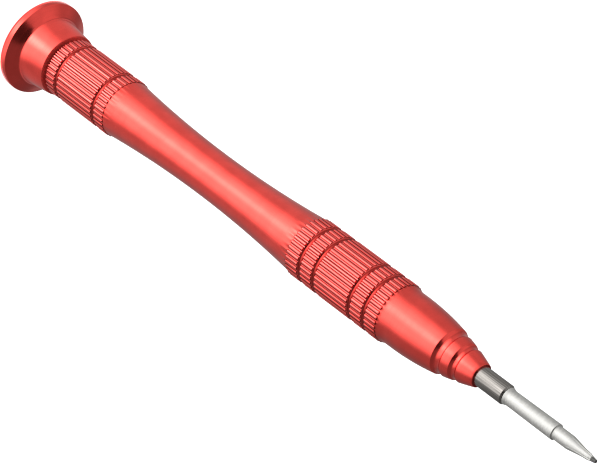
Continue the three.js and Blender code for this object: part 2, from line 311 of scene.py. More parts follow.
class Finishes(bpy.types.PropertyGroup):
    """Colours and polish of the metals"""

    red: colour("Anodised red", "Dyed skin of the aluminium pieces", (0.80, 0.078, 0.064))
    # Painted shade: the dark red mixed in low on the knurl's flanks and in the ring grooves
    painted_shade_red: colour("Deep red", "Dye that lies low in the knurl and the ring grooves", (0.13, 0.002, 0.002))
    red_rough: share("Red roughness", "Roughness of the handle's anodised skin", 0.22)
    cap_rough: share("Cap roughness", "Roughness of the cap's anodised skin", 0.18)
    # Painted shade: how far the knurl's low flanks are mixed towards the dark red
    painted_flank_shade: share("Flank darkness", "How dark the dye and grime lie on the knurl's flanks", 0.94)
    # Painted shade: how far the ring grooves are mixed towards the dark red
    painted_groove_shade: share("Groove darkness", "How dark the dye and grime lie in the ring grooves", 0.6)
    # Painted highlight: how far the ridge tops and valley floors are mixed towards a paler red
    painted_crest_highlight: share("Crest paleness", "How far the knurl's crests are worn towards bare metal", 0.13)
    gunmetal: colour("Gunmetal", "Dark nickel of the socket", (0.205, 0.192, 0.179))
    gunmetal_rough: share("Gunmetal roughness", "Roughness of the socket", 0.25)
    steel: colour("Bright steel", "Ground steel of the bit", (0.45, 0.446, 0.428))
    steel_rough: share("Steel roughness", "Roughness of the ground steel", 0.58)
    bronze: colour("Bronze", "Turned bearing bronze", (0.6, 0.4, 0.2))
    nickel: colour("Nickel", "Plating of the magnet", (0.62, 0.61, 0.58))
    polymer: colour("Washer polymer", "Moulded black washer", (0.02, 0.017, 0.017))


class StageSettings(bpy.types.PropertyGroup):
    """The studio: camera, floor and lights"""

    lens: bpy.props.FloatProperty(
        name="Lens", description="Focal length in millimetres", default=187.4, min=1
    )
    elevation: turn("Camera elevation", "How far the camera looks down", 35.04)
    roll: turn("Camera roll", "Turn of the camera about its own axis", 126.77)
    camera_place: bpy.props.FloatVectorProperty(
        name="Camera place",
        description="Where the camera stands",
        default=(-0.00101, -0.3846, 0.333),
        size=3,
        subtype="TRANSLATION",
    )
    floor_glow: number("Floor glow", "Plain white that the floor adds for the eye and for metal", 0.85)
    front_light: number("Front light", "Level of the broad light in front", 2.0)
    core_light: number("Core light", "Extra level in the middle of the front light", 2.1)
    near_core: number("Near core", "How much the core gains close to the tool", 0.9)
    near_narrow: number("Near narrowing", "How much narrower the front light is close to the tool", 0.22)
    # Painted contact shadow: the light table is dimmed right beside the cap, as the cap's shadow would show
    # in the metal
    contact_shadow: share("Contact", "Share of the light that is left right beside the cap", 0.7)
    left_side: number("Left side", "Level of the studio on the left", 0.85)
    right_side: number("Right side", "Level of the studio on the right", 0.64)
    left_far: share("Left far", "Share of the left level that is left far from the tool", 0.85)
    right_far: share("Right far", "Share of the right level that is left far from the tool", 0.75)
    back_share: share("Back", "Share of the side level that is left behind the tool", 0.55)
    left_sky: number("Left sky", "Level above the horizon on the left", 1.0)
    left_back_sky: number("Left back sky", "Level above the horizon behind on the left", 0.62)
    right_sky: number("Right sky", "Level above the horizon on the right", 0.26)
    dim_sky: number("Dim sky", "Level above the horizon in front and overhead", 0.08)
    top_box: number("Top soft box", "Power of the overhead soft box that lights the floor", 1.0)


class Screwdriver(bpy.types.PropertyGroup):
    """Every size, colour and light of the screwdriver"""

    cap: bpy.props.PointerProperty(type=CapSizes)
    handle: bpy.props.PointerProperty(type=HandleSizes)
    knurl: bpy.props.PointerProperty(type=KnurlSizes)
    socket: bpy.props.PointerProperty(type=SocketSizes)
    bit: bpy.props.PointerProperty(type=BitSizes)
    finish: bpy.props.PointerProperty(type=Finishes)
    stage: bpy.props.PointerProperty(type=StageSettings)


# Outlines


def outline(*points):
    """A new mesh with the edges of a turned outline towards -Y, and those edges.

    A point is a radius, a height and, where its corner is rounded, a rounding.
    """
    bm = bmesh.new()
    verts = [bm.verts.new((0, -point[0], point[1])) for point in points]
    for pair in zip(verts, verts[1:]):
        bm.edges.new(pair)
    roundings = {point[2] for point in points if len(point) > 2}
    for rounding in sorted(roundings):
        corners = [v for v, point in zip(verts, points) if len(point) > 2 and point[2] == rounding]
        bmesh.ops.bevel(
            bm,
            geom=corners,
            offset=rounding,
            offset_type="OFFSET",
            segments=ROUND_SEGMENTS,
            profile=0.5,
            affect="VERTICES",
            clamp_overlap=True,
            material=-1,
        )
    return bm, bm.verts[:] + bm.edges[:]


def arc(start, end, sag, steps):
    """Points of a circular arc between two outline points; a positive sag bulges out from the axis."""
    first, last = Vector(start), Vector(end)
    chord = last - first
    half = chord.length / 2
    outward = Vector((chord.y, -chord.x)).normalized()
    radius = (half**2 + sag**2) / (2 * sag)
    centre = (first + last) / 2 + outward * (sag - radius)
    sweep = 4 * math.atan(sag / half)
    arm = first - centre
    turned = []
    for i in range(steps + 1):
        angle = sweep * i / steps
        x = arm.x * math.cos(angle) - arm.y * math.sin(angle)
        y = arm.x * math.sin(angle) + arm.y * math.cos(angle)
        turned.append((centre.x + x, centre.y + y))
    return turned


def spread(start, end, steps):
    """Evenly spaced values from start to end."""
    return [start + (end - start) * i / steps for i in range(steps + 1)]


# Turning


def whole(bm):
    """All of a mesh's geometry."""
    return bm.verts[:] + bm.edges[:] + bm.faces[:]


def spin(bm, geom, angle, steps, copies=False, closed=False):
    """Spins geometry about the tool's axis."""
    return bmesh.ops.spin(
        bm,
        geom=geom,
        cent=ORIGIN,
        axis=AXIS,
        dvec=ORIGIN,
        angle=angle,
        steps=steps,
        use_merge=closed,
        use_normal_flip=False,
        use_duplicate=copies,
    )["geom_last"]


def close_up(bm):
    """Merges a mesh's seams and poles, points its faces outwards and gives it back."""
    bmesh.ops.remove_doubles(bm, verts=bm.verts, dist=MERGE)
    bmesh.ops.dissolve_degenerate(bm, dist=MERGE, edges=bm.edges)
    bmesh.ops.recalc_face_normals(bm, faces=bm.faces)
    return bm


def turn_plain(bm, geom, columns=SMOOTH_COLUMNS):
    """A plain turned piece from an outline."""
    spin(bm, geom, math.tau, columns, closed=True)


def turn_ridged(bm, loop, steps, count):
    """A turned piece with ridges: half a ridge is spun from its middle, mirrored and repeated.

    Each step is the angle from the ridge's middle and the greatest radius, by height, at that angle.
    """
    last_angle = 0
    for angle, greatest in steps:
        loop = spin(bm, loop, angle - last_angle, 1)
        last_angle = angle
        for vert in [g for g in loop if isinstance(g, bmesh.types.BMVert)]:
            radius = vert.co.xy.length
            if radius > greatest(vert.co.z):
                factor = greatest(vert.co.z) / radius
                bmesh.ops.scale(bm, vec=(factor, factor, 1), verts=[vert])
    bmesh.ops.mirror(bm, geom=whole(bm), matrix=Matrix.Identity(4), merge_dist=MERGE, axis="X")
    spin(bm, whole(bm), math.tau * (count - 1) / count, count - 1, copies=True)


def add_piece(bm, name, node, body, material):
    """Makes a mesh object of a finished shape, in place of its CAD node."""
    for face in bm.faces:
        face.smooth = True
    for edge in bm.edges:
        edge.smooth = len(edge.link_faces) == 2 and edge.calc_face_angle() < CREASE
    mesh = bpy.data.meshes.new(name)
    bm.to_mesh(mesh)
    bm.free()
    mesh.materials.append(material)
    piece = bpy.data.objects.new(name, mesh)
    bpy.context.scene.collection.objects.link(piece)
    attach(piece, body)
    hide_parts(node)
    return piece


# Shapes


def shape_cap(cap):
    """The swivel cap: a flat rim, a steep flare and a slightly tapered neck, bored for its bush and cover."""
    recess = reach("cap_cover") + cap.cover_gap
    recess_floor = top("cap_cover") + cap.cover_gap
    height = top("swivel_cap")
    bm, loop = outline(
        (recess, 0),
        (cap.rim_radius, 0, cap.rim_round),
        (cap.rim_radius, cap.rim_edge, cap.rim_round),
        (cap.neck_root, cap.rim_edge + cap.flare_height, cap.root_round),
        (cap.neck_end, height, cap.neck_round),
        (cap.bore, height),
        (cap.bore, cap.chamber_floor),
        (cap.chamber, cap.chamber_floor),
        (cap.chamber, recess_floor),
        (recess, recess_floor),
        (recess, 0),
    )
    turn_plain(bm, loop)
    return close_up(bm)


def shape_cover(cap):
    """The disc pressed into the cap's end, with a shallow dish."""
    radius = reach("cap_cover")
    front, back = bottom("cap_cover"), top("cap_cover")
    half = math.hypot(cap.dish_radius, cap.dish_depth) / 2
    bowl = (cap.dish_radius**2 + cap.dish_depth**2) / (2 * cap.dish_depth)
    sag = bowl - math.sqrt(bowl**2 - half**2)
    dish = arc((0, front + cap.dish_depth), (cap.dish_radius, front), -sag, DISH_STEPS)
    edge = cap.rim_round / 2
    bm, loop = outline(*dish, (radius, front, edge), (radius, back), (0, back))
    turn_plain(bm, loop)
    return close_up(bm)


def ring_grooves(handle, knurl, middles):
    """The ring grooves of a grip, each a round hollow in the grip's outline."""
    grip, half, rounding = handle.grip_radius, knurl.ring_width / 2, knurl.ring_round
    points = []
    for middle in middles:
        hollow = arc((grip, middle - half), (grip, middle + half), -knurl.ring_depth, RING_STEPS)
        points += [(*hollow[0], rounding), *hollow[1:-1], (*hollow[-1], rounding)]
    return points


def ridge_steps(knurl, grip):
    """Half a ridge from its top to the valley's middle: two small flats joined by a flank."""
    half_pitch = math.pi / knurl.ridges
    top_end = knurl.top_width / 2 / grip
    floor_start = half_pitch - knurl.floor_width / 2 / grip
    steps = []
    for across, down in FLANK:
        radius = grip - knurl.depth * down
        steps.append((top_end + (floor_start - top_end) * across, lambda height, radius=radius: radius))
    valley = grip - knurl.depth
    return [*steps, (half_pitch, lambda height: valley)]


def grip_heights(handle):
    """Where the head grip and the main grip start and end."""
    head_start = bottom("handle_barrel")
    head_end = head_start + handle.head_grip
    main_start = head_end + handle.head_bevel + handle.waist + handle.main_start_bevel
    return (head_start, head_end), (main_start, main_start + handle.main_grip)


def nose_outline(handle, start, end):
    """The nose's ogive with its two round grooves, from its land's end to the nose's end."""
    run, drop = end - start, handle.nose_radius - handle.nose_end
    arc_radius = (run**2 + drop**2) / (2 * drop)

    def on_ogive(height, ledge=0):
        across = math.sqrt(arc_radius**2 - (height - start) ** 2)
        return handle.nose_radius - ledge - arc_radius + across, height

    def smooth(low, high, steps, ledge=0):
        return [on_ogive(height, ledge) for height in spread(low, high, steps)]

    def groove(low, high, ledge_before, ledge_after):
        ends = on_ogive(low, ledge_before), on_ogive(high, ledge_after)
        hollow = arc(*ends, -handle.groove_depth, NOSE_GROOVE_STEPS)
        return [(*hollow[0], handle.groove_round), *hollow[1:-1], (*hollow[-1], handle.groove_round)]

    first, second = end - handle.groove_1, end - handle.groove_2
    first_end, second_end = first + handle.groove_1_width, second + handle.groove_2_width
    before, between, past = OGIVE_STEPS
    return [
        *smooth(start, first, before)[:-1],
        *groove(first, first_end, 0, handle.ledge_1),
        *smooth(first_end, second, between, handle.ledge_1)[1:-1],
        *groove(second, second_end, handle.ledge_1, handle.ledge_2),
        *smooth(second_end, end, past, handle.ledge_2)[1:-1],
        (handle.nose_end - handle.ledge_2, end, handle.end_round),
    ]


def shape_handle(handle, knurl):
    """The handle: two knurled grips with a waist between them, and a grooved nose."""
    grip, end = handle.grip_radius, top("handle_barrel")
    (start, head_end), (main_start, main_end) = grip_heights(handle)
    valley = grip - knurl.depth
    pilot_end = start + handle.pilot_depth
    waist_start = head_end + handle.head_bevel
    waist_end = waist_start + handle.waist
    nose_start = main_end + handle.main_end_bevel
    run_out = main_end + handle.main_end_bevel * knurl.depth / (grip - handle.nose_radius)
    bore = reach("bit_socket") + handle.socket_gap
    bore_floor = bottom("bit_socket") - handle.socket_gap
    inset, pitch = knurl.ring_inset, knurl.ring_pitch
    first_ring, last_ring = main_start + knurl.main_ring_inset, main_end - inset
    sag = handle.waist_radius - valley
    waist = arc((valley, waist_start), (valley, waist_end), sag, WAIST_STEPS)
    bm, loop = outline(
        (0, pilot_end + handle.drill_point),
        (handle.pilot, pilot_end),
        (handle.pilot, start),
        (grip - handle.end_chamfer, start),
        (grip, start + handle.end_chamfer),
        *ring_grooves(handle, knurl, [start + inset, head_end - inset]),
        (grip, head_end),
        *waist,
        (grip, main_start),
        *ring_grooves(handle, knurl, [first_ring, first_ring + pitch, last_ring - pitch, last_ring]),
        (grip, main_end),
        (valley, run_out),
        (handle.nose_radius, nose_start),
        *nose_outline(handle, nose_start + handle.nose_land, end),
        (bore, end),
        (bore, bore_floor),
        (0, bore_floor),
    )
    turn_ridged(bm, loop, ridge_steps(knurl, grip), knurl.ridges)
    return close_up(bm)


def hexagon(bm, flats, height):
    """A flat ring of six edges round the axis."""
    ring = bmesh.ops.create_circle(bm, segments=6, radius=flats / math.sqrt(3), cap_ends=False)
    bmesh.ops.translate(bm, verts=ring["verts"], vec=(0, 0, height))
    return list({edge for vert in ring["verts"] for edge in vert.link_edges})


def draw_up(bm, edges, rise):
    """Extrudes a ring of edges along the axis and gives the new ring."""
    drawn = bmesh.ops.extrude_edge_only(bm, edges=edges)["geom"]
    verts = [g for g in drawn if isinstance(g, bmesh.types.BMVert)]
    bmesh.ops.translate(bm, verts=verts, vec=(0, 0, rise))
    return [
        g
        for g in drawn
        if isinstance(g, bmesh.types.BMEdge) and all(v in verts for v in g.verts)
    ]


def open_ring(bm, height, inner, outer):
    """The open edges at a height between two radii."""
    return [
        edge
        for edge in bm.edges
        if len(edge.link_faces) < 2
        and all(abs(v.co.z - height) < MERGE for v in edge.verts)
        and all(inner < v.co.xy.length < outer for v in edge.verts)
    ]


def shape_socket(socket):
    """The steel socket: a plain tube outside, a hexagon inside, with a pocket for the magnet behind."""
    start, end = bottom("bit_socket"), top("bit_socket")
    pocket_end = start + socket.pocket_depth
    mouth = socket.radius - socket.chamfer
    back_round, mouth_round = socket.chamfer / 2, socket.chamfer / 6
    bm, loop = outline(
        (socket.pocket, pocket_end),
        (socket.pocket, start),
        (socket.radius, start, back_round),
        (socket.radius, end - socket.chamfer, mouth_round),
        (mouth, end),
    )
    turn_plain(bm, loop, COARSE_COLUMNS)
    bmesh.ops.remove_doubles(bm, verts=bm.verts, dist=MERGE)
    lower = hexagon(bm, socket.hex_flats, pocket_end)
    upper = draw_up(bm, lower, end - pocket_end)
    for ring, height in ((lower, pocket_end), (upper, end)):
        outer = open_ring(bm, height, socket.hex_flats * PAST_CORNER, socket.radius)
        bmesh.ops.bridge_loops(bm, edges=ring + outer)
    return close_up(bm)


def shape_bit(bit):
    """The bit: a hexagonal tail, a collar, a ground shank and cone, and a cross point."""
    tail_start, tip = bottom("driver_bit"), top("driver_bit")
    collar = top("bit_socket") + bit.seat_gap
    shank_start = collar + bit.collar_edge + bit.collar_cone
    shank_end = shank_start + bit.shank
    neck_start = shank_end + bit.shoulder
    cone_start = neck_start + bit.neck
    taper_start = cone_start + bit.cone
    taper_end = taper_start + bit.taper
    nib_start = taper_end + bit.nib_step
    nib_end = nib_start + bit.nib
    tail_corner = bit.tail_flats / math.sqrt(3)
    edge_round, fine_round = bit.collar_edge / 2, bit.collar_edge / 4
    root_round, cone_round, taper_round = bit.collar_cone / 3, bit.neck / 8, bit.taper / 4
    bm, loop = outline(
        ((tail_corner + bit.collar_radius) / 2, collar),
        (bit.collar_radius, collar, edge_round),
        (bit.collar_radius, collar + bit.collar_edge, fine_round),
        (bit.shank_start, shank_start, root_round),
        (bit.shank_end, shank_end, fine_round),
        (bit.neck_radius, neck_start),
        (bit.neck_radius, cone_start, cone_round),
        (bit.cone_end, taper_start, taper_round),
        (bit.taper_end, taper_end, edge_round),
        (bit.nib_radius, nib_start, edge_round),
        *[
            (bit.nib_radius + (bit.nib_end - bit.nib_radius) * s, nib_start + bit.nib * s)
            for s in spread(0, 1, NIB_STEPS)[1:-1]
        ],
        (bit.nib_end, nib_end),
        (0, tip),
    )

    def flute_wall(angle):
        """The greatest radius at an angle from a wing's middle: a flat wall that leans out up the nib."""
        lean, across = math.tan(bit.flute_lean), math.sin(angle)
        return lambda height: (bit.wing / 2 + (tip - height) * lean) / across

    steps = [(angle, flute_wall(angle)) for angle in spread(0, math.pi / WINGS, FLUTE_STEPS)[1:]]
    turn_ridged(bm, loop, steps, WINGS)
    bmesh.ops.remove_doubles(bm, verts=bm.verts, dist=MERGE)
    lower = hexagon(bm, bit.tail_flats, tail_start)
    bmesh.ops.contextual_create(bm, geom=lower)
    upper = draw_up(bm, lower, collar - tail_start)
    outer = open_ring(bm, collar, bit.tail_flats * PAST_CORNER, bit.collar_radius)
    bmesh.ops.bridge_loops(bm, edges=upper + outer)
    return close_up(bm)


def shape_washer():
    """The plain black washer between the cap and the handle."""
    low, high = bottom("thrust_washer"), top("thrust_washer")
    radius, edge = reach("thrust_washer"), (high - low) / 5
    bore_start, bore_end = (WASHER_BORE, low), (WASHER_BORE, high)
    bm, loop = outline(bore_start, (radius, low, edge), (radius, high, edge), bore_end, bore_start)
    turn_plain(bm, loop, COARSE_COLUMNS)
    return close_up(bm)


# Finishes


class Nodes:
    """Adds shader nodes to a material or world, with plain values set on their own sockets."""

    def __init__(self, owner):
        owner.use_nodes = True
        self.owner = owner
        self.tree = owner.node_tree
        self.tree.nodes.clear()

    def put(self, socket, value):
        """Links an input to another node's output, or sets it to a plain value."""
        if isinstance(value, bpy.types.NodeSocket):
            self.tree.links.new(value, socket)
        else:
            socket.default_value = value

    def add(self, kind, settings=None, **inputs):
        """A node with its settings and inputs; an input's name has _ for a space."""
        node = self.tree.nodes.new(kind)
        for key, value in (settings or {}).items():
            setattr(node, key, value)
        for key, value in inputs.items():
            self.put(node.inputs[key.replace("_", " ")], value)
        return node

    def operate(self, kind, operation, values):
        """A math node with its inputs in order."""
        node = self.add(kind, {"operation": operation})
        for socket, value in zip(node.inputs, values):
            self.put(socket, value)
        return node

    def math(self, operation, *values):
        """A number worked out of others."""
        return self.operate("ShaderNodeMath", operation, values).outputs[0]

    def vector(self, operation, *values):
        """A vector, or its length, worked out of others."""
        node = self.operate("ShaderNodeVectorMath", operation, values)
        return node.outputs["Value" if operation == "LENGTH" else "Vector"]

    def ramp(self, value, low, high, start=0.0, end=1.0):
        """Maps a value smoothly from low..high to start..end."""
        node = self.add("ShaderNodeMapRange", {"interpolation_type": "SMOOTHSTEP"}, Value=value)
        for socket, number in zip(node.inputs[1:5], (low, high, start, end)):
            socket.default_value = number
        return node.outputs[0]

    def band(self, value, up, down):
        """1 between the range in which it comes up and the range in which it goes down."""
        return self.math("MINIMUM", self.ramp(value, *up), self.ramp(value, *down, 1, 0))

    def mix(self, share_of_second, first, second):
        """Mixes two colours."""
        node = self.add("ShaderNodeMix", {"data_type": "RGBA"})
        for index, value in ((0, share_of_second), (6, first), (7, second)):
            self.put(node.inputs[index], value)
        return node.outputs[2]

    def noise(self, place, scale, detail=2.0, roughness=0.5):
        """Smooth noise from 0 to 1."""
        kind = "ShaderNodeTexNoise"
        return self.add(kind, Vector=place, Scale=scale, Detail=detail, Roughness=roughness).outputs[0]

    def place(self):
        """Object coordinates in millimetres."""
        coords = self.add("ShaderNodeTexCoord").outputs["Object"]
        return self.vector("MULTIPLY", coords, (1 / MM, 1 / MM, 1 / MM))

    def parts(self, place):
        """The three parts of a place or direction."""
        return self.add("ShaderNodeSeparateXYZ", Vector=place).outputs

    def height(self, place):
        """How far a place lies along the tool's axis."""
        return self.parts(place)[2]

    def flat(self, place):
        """A place without its height."""
        return self.vector("MULTIPLY", place, (1, 1, 0))

    def round_place(self, place, round_scale, along_scale):
        """Coordinates for marks on a turned face: a direction round the axis and a height along it."""
        facing = self.vector("NORMALIZE", self.flat(place))
        facing = self.vector("MULTIPLY", facing, (round_scale, round_scale, 0))
        along = self.vector("MULTIPLY", place, (0, 0, along_scale))
        return self.vector("ADD", facing, along)

    def metal(self, tint, metallic, roughness, marks, depth):
        """Ends a material in a metal whose polish and relief follow its marks."""
        rough = self.ramp(marks, *ROUGH_RANGE, roughness - ROUGH_SWING, roughness + ROUGH_SWING)
        bump = self.add("ShaderNodeBump", Strength=BUMP_STRENGTH, Distance=depth, Height=marks)
        return self.surface(Base_Color=tint, Metallic=metallic, Roughness=rough, Normal=bump.outputs[0])

    def surface(self, **inputs):
        """Ends a material in one plain surface."""
        return self.output(self.add("ShaderNodeBsdfPrincipled", **inputs).outputs[0])

    def output(self, shader, kind="ShaderNodeOutputMaterial"):
        """Ends a material or world in a shader and gives the material or world."""
        self.add(kind, Surface=shader)
        return self.owner


def new_material(name):
    """The empty node tree of a new material."""
    return Nodes(bpy.data.materials.new(name))


def shade(rgb, factor):
    """A colour made lighter or darker, with its alpha."""
    return (*[min(1, c * factor) for c in rgb], 1)


def knurl_painted_light(n, place, tint, finish, crest, valley, grips):
    """The colour of a knurled piece, from the radii of its crests and valleys and the heights of its grips.

    It is darker low on the flanks and in the ring grooves, a painted shade, and paler on the ridges and
    valley floors, a painted highlight.
    """
    radius = n.vector("LENGTH", n.flat(place))
    span = {"From_Min": valley / MM, "From_Max": crest / MM}
    rise = n.add("ShaderNodeMapRange", {"clamp": False}, Value=radius, **span).outputs[0]
    # Painted shade: low on the flanks the red is mixed towards a dark red
    dark = shade(finish.painted_shade_red, 1.0)
    flank = n.math("MULTIPLY", n.band(rise, *LOW_FLANK), finish.painted_flank_shade)
    tint = n.mix(flank, tint, dark)
    height, within = n.height(place), 0.0
    for low, high in grips:
        start, end = low / MM, high / MM
        grip = n.band(height, (start, start + GRIP_FADE), (end - GRIP_FADE, end))
        within = n.math("MAXIMUM", within, grip)
    # Painted shade: within the grips, below the valleys, the ring grooves are mixed towards the dark red
    deep = n.math("MULTIPLY", within, n.ramp(rise, *GROOVE_WALL, finish.painted_groove_shade, 0))
    tint = n.mix(deep, tint, dark)
    # Painted highlight: the ridge tops and, within the grips, the valley floors are mixed towards a paler red
    floor = n.math("MULTIPLY", within, n.band(rise, *VALLEY_FLOOR))
    highlit = n.math("MAXIMUM", floor, n.ramp(rise, *RIDGE_TOP))
    pale = (*[c + (1 - c) * finish.painted_crest_highlight for c in finish.red], 1)
    return n.mix(n.math("MULTIPLY", highlit, HIGHLIGHT_SHARE), tint, pale)


def red_finish(name, finish, roughness, knurled=None, matt_from=None):
    """Satin red anodised aluminium with fine lathe rings.

    A knurled piece gives its radii and grips. Past matt_from along the axis the faced end is matt.
    """
    n = new_material(name)
    place = n.place()
    rings = n.noise(n.round_place(place, *LATHE_RINGS), 1.0, *GRAIN)
    cloud = n.ramp(n.noise(place, CLOUD_SCALE), *CLOUD_RANGE)
    tint = n.mix(cloud, *[shade(finish.red, factor) for factor in CLOUD_SHADES])
    tint = n.mix(n.ramp(rings, *RING_RANGE, 0, RING_SHARE), tint, shade(finish.red, RING_SHADE))
    if knurled:
        tint = knurl_painted_light(n, place, tint, finish, *knurled)
    metallic = 1.0
    if matt_from:
        start = matt_from / MM
        metallic = n.ramp(n.height(place), start, start + MATT_FADE, 1.0, MATT_METAL)
    return n.metal(tint, metallic, roughness, rings, RED_RELIEF)


def steel_finish(name, tone, rough, streak, dark_from=None):
    """Turned or ground steel with fine streaks; it darkens past dark_from along the axis."""
    n = new_material(name)
    place = n.place()
    round_scale, along_scale, contrast = streak
    streaks = n.noise(n.round_place(place, round_scale, along_scale), 1.0, *GRAIN)
    tint = n.mix(n.ramp(streaks, *STREAK_RANGE), shade(tone, 1 - contrast), shade(tone, 1 + contrast))
    if dark_from:
        start = dark_from / MM
        tint = n.mix(n.ramp(n.height(place), start, start + NIB_FADE), tint, shade(tone, NIB_SHADE))
    return n.metal(tint, 1.0, rough, streaks, STEEL_RELIEF)


def polymer_finish(name, tone):
    """Moulded black polymer with a faint mottle."""
    n = new_material(name)
    mottle = n.noise(n.place(), *MOTTLE)
    tint = n.mix(n.ramp(mottle, *STREAK_RANGE), *[shade(tone, factor) for factor in MOTTLE_SHADES])
    return n.surface(Base_Color=tint, Roughness=n.ramp(mottle, *STREAK_RANGE, *POLYMER_ROUGH))


# Operators


class SCREWDRIVER_OT_cap(bpy.types.Operator):
    """Build the swivel cap and its dished cover"""

    bl_idname = "screwdriver.cap"
    bl_label = "Swivel cap"

    def execute(self, context):
        tool = context.scene.screwdriver
        matt_from = top("swivel_cap") - MATT_END
        red = red_finish("cap_red", tool.finish, tool.finish.cap_rough, matt_from=matt_from)
        add_piece(shape_cap(tool.cap), "turned_cap", "swivel_cap", "swivel_head", red)
        add_piece(shape_cover(tool.cap), "dished_cover", "cap_cover", "swivel_head", red)
        return {"FINISHED"}


class SCREWDRIVER_OT_handle(bpy.types.Operator):
    """Build the knurled handle and the washer under it"""

    bl_idname = "screwdriver.handle"
    bl_label = "Handle"

    def execute(self, context):
        tool = context.scene.screwdriver
        crest = tool.handle.grip_radius
        knurled = crest, crest - tool.knurl.depth, grip_heights(tool.handle)
        red = red_finish("handle_red", tool.finish, tool.finish.red_rough, knurled)
        bm = shape_handle(tool.handle, tool.knurl)
        add_piece(bm, "knurled_handle", "handle_barrel", "handle", red)
        black = polymer_finish("washer_polymer", tool.finish.polymer)
        add_piece(shape_washer(), "black_washer", "thrust_washer", "handle", black)
        return {"FINISHED"}


class SCREWDRIVER_OT_socket(bpy.types.Operator):
    """Build the steel socket in the nose"""

    bl_idname = "screwdriver.socket"
    bl_label = "Socket"

    def execute(self, context):
        tool = context.scene.screwdriver
        finish = tool.finish
        dark = steel_finish("socket_gunmetal", finish.gunmetal, finish.gunmetal_rough, TURNED)
        add_piece(shape_socket(tool.socket), "steel_socket", "bit_socket", "handle", dark)
        return {"FINISHED"}


class SCREWDRIVER_OT_bit(bpy.types.Operator):
    """Build the pull-out bit"""

    bl_idname = "screwdriver.bit"
    bl_label = "Bit"

    def execute(self, context):
        tool = context.scene.screwdriver
        nib = top("driver_bit") - tool.bit.point - tool.bit.nib
        bright = steel_finish("bit_steel", tool.finish.steel, tool.finish.steel_rough, GROUND, nib)
        add_piece(shape_bit(tool.bit), "cross_bit", "driver_bit", "bit", bright)
        return {"FINISHED"}


class SCREWDRIVER_OT_inside(bpy.types.Operator):
    """Finish the pieces inside the cap and the socket, which keep their CAD shapes"""

    bl_idname = "screwdriver.inside"
    bl_label = "Inside pieces"

    def execute(self, context):
        finish = context.scene.screwdriver.finish
        bright = steel_finish("screw_steel", finish.steel, finish.steel_rough, GROUND)
        finishes = {
            "cap_bush": steel_finish("bush_bronze", finish.bronze, BRONZE_ROUGH, BEARING),
            "pivot_screw": bright,
            "spring_washer": bright,
            "socket_magnet": steel_finish("magnet_nickel", finish.nickel, NICKEL_ROUGH, PLATED),
        }
        for node, material in finishes.items():
            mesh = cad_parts[node].data
            mesh.materials.clear()
            mesh.materials.append(material)
        return {"FINISHED"}


class SCREWDRIVER_OT_stage(bpy.types.Operator):
    """Set up the camera, the white floor and the studio lights"""

    bl_idname = "screwdriver.stage"
    bl_label = "Studio"

    def execute(self, context):
        stage = context.scene.screwdriver.stage
        add_camera(context.scene, stage)
        add_floor(context.scene, stage)
        add_light_table(context.scene, stage)
        add_top_box(context.scene, stage)
        add_world(context.scene, stage)
        context.scene.view_settings.view_transform = "Standard"
        context.scene.cycles.filter_width = PIXEL_FILTER
        return {"FINISHED"}


# Studio


def add_camera(scene, stage):
    """A long lens that looks down the standing tool, rolled as the photograph is."""
    data = bpy.data.cameras.new("camera")
    data.lens = stage.lens
    data.sensor_width = SENSOR_MM
    data.clip_start, data.clip_end = CLIP
    camera = bpy.data.objects.new("camera", data)
    look_down = Euler((math.pi / 2 - stage.elevation, 0, 0)).to_matrix()
    roll = Matrix.Rotation(stage.roll, 3, "Z")
    camera.matrix_world = Matrix.Translation(stage.camera_place) @ (look_down @ roll).to_4x4()
    scene.collection.objects.link(camera)
    scene.camera = camera


def seen_by_eye(n):
    """1 for camera, glossy and transmission rays, so that metal shows the floor as the eye does."""
    rays = n.add("ShaderNodeLightPath").outputs
    seen = n.math("MAXIMUM", rays["Is Camera Ray"], rays["Is Glossy Ray"])
    return n.math("MAXIMUM", seen, rays["Is Transmission Ray"])


def add_stage_mesh(scene, bm, name, material):
    """Makes an object of a finished shape that isn't part of the tool."""
    mesh = bpy.data.meshes.new(name)
    bm.to_mesh(mesh)
    bm.free()
    mesh.materials.append(material)
    item = bpy.data.objects.new(name, mesh)
    scene.collection.objects.link(item)
    return item


def add_floor(scene, stage):
    """A wide pale floor that keeps the tool's shadow."""
    bm = bmesh.new()
    bmesh.ops.create_grid(bm, x_segments=1, y_segments=1, size=FLOOR_SIZE)
    bmesh.ops.translate(bm, verts=bm.verts, vec=(0, 0, -FLOOR_DROP))
    n = new_material("white_floor")
    lit = n.add("ShaderNodeBsdfDiffuse", Color=FLOOR_GREY)
    glow = n.add("ShaderNodeEmission", Strength=n.math("MULTIPLY", seen_by_eye(n), stage.floor_glow))
    both = n.add("ShaderNodeAddShader")
    for socket, shader in zip(both.inputs, (lit, glow)):
        n.put(socket, shader.outputs[0])
    floor = add_stage_mesh(scene, bm, "floor", n.output(both.outputs[0]))


def heading_of(n, direction):
    """The angle of a direction round the tool: 0 in front, positive to the right."""
    across, back, _ = n.parts(direction)
    return n.math("ARCTAN2", across, n.math("MULTIPLY", back, -1.0))


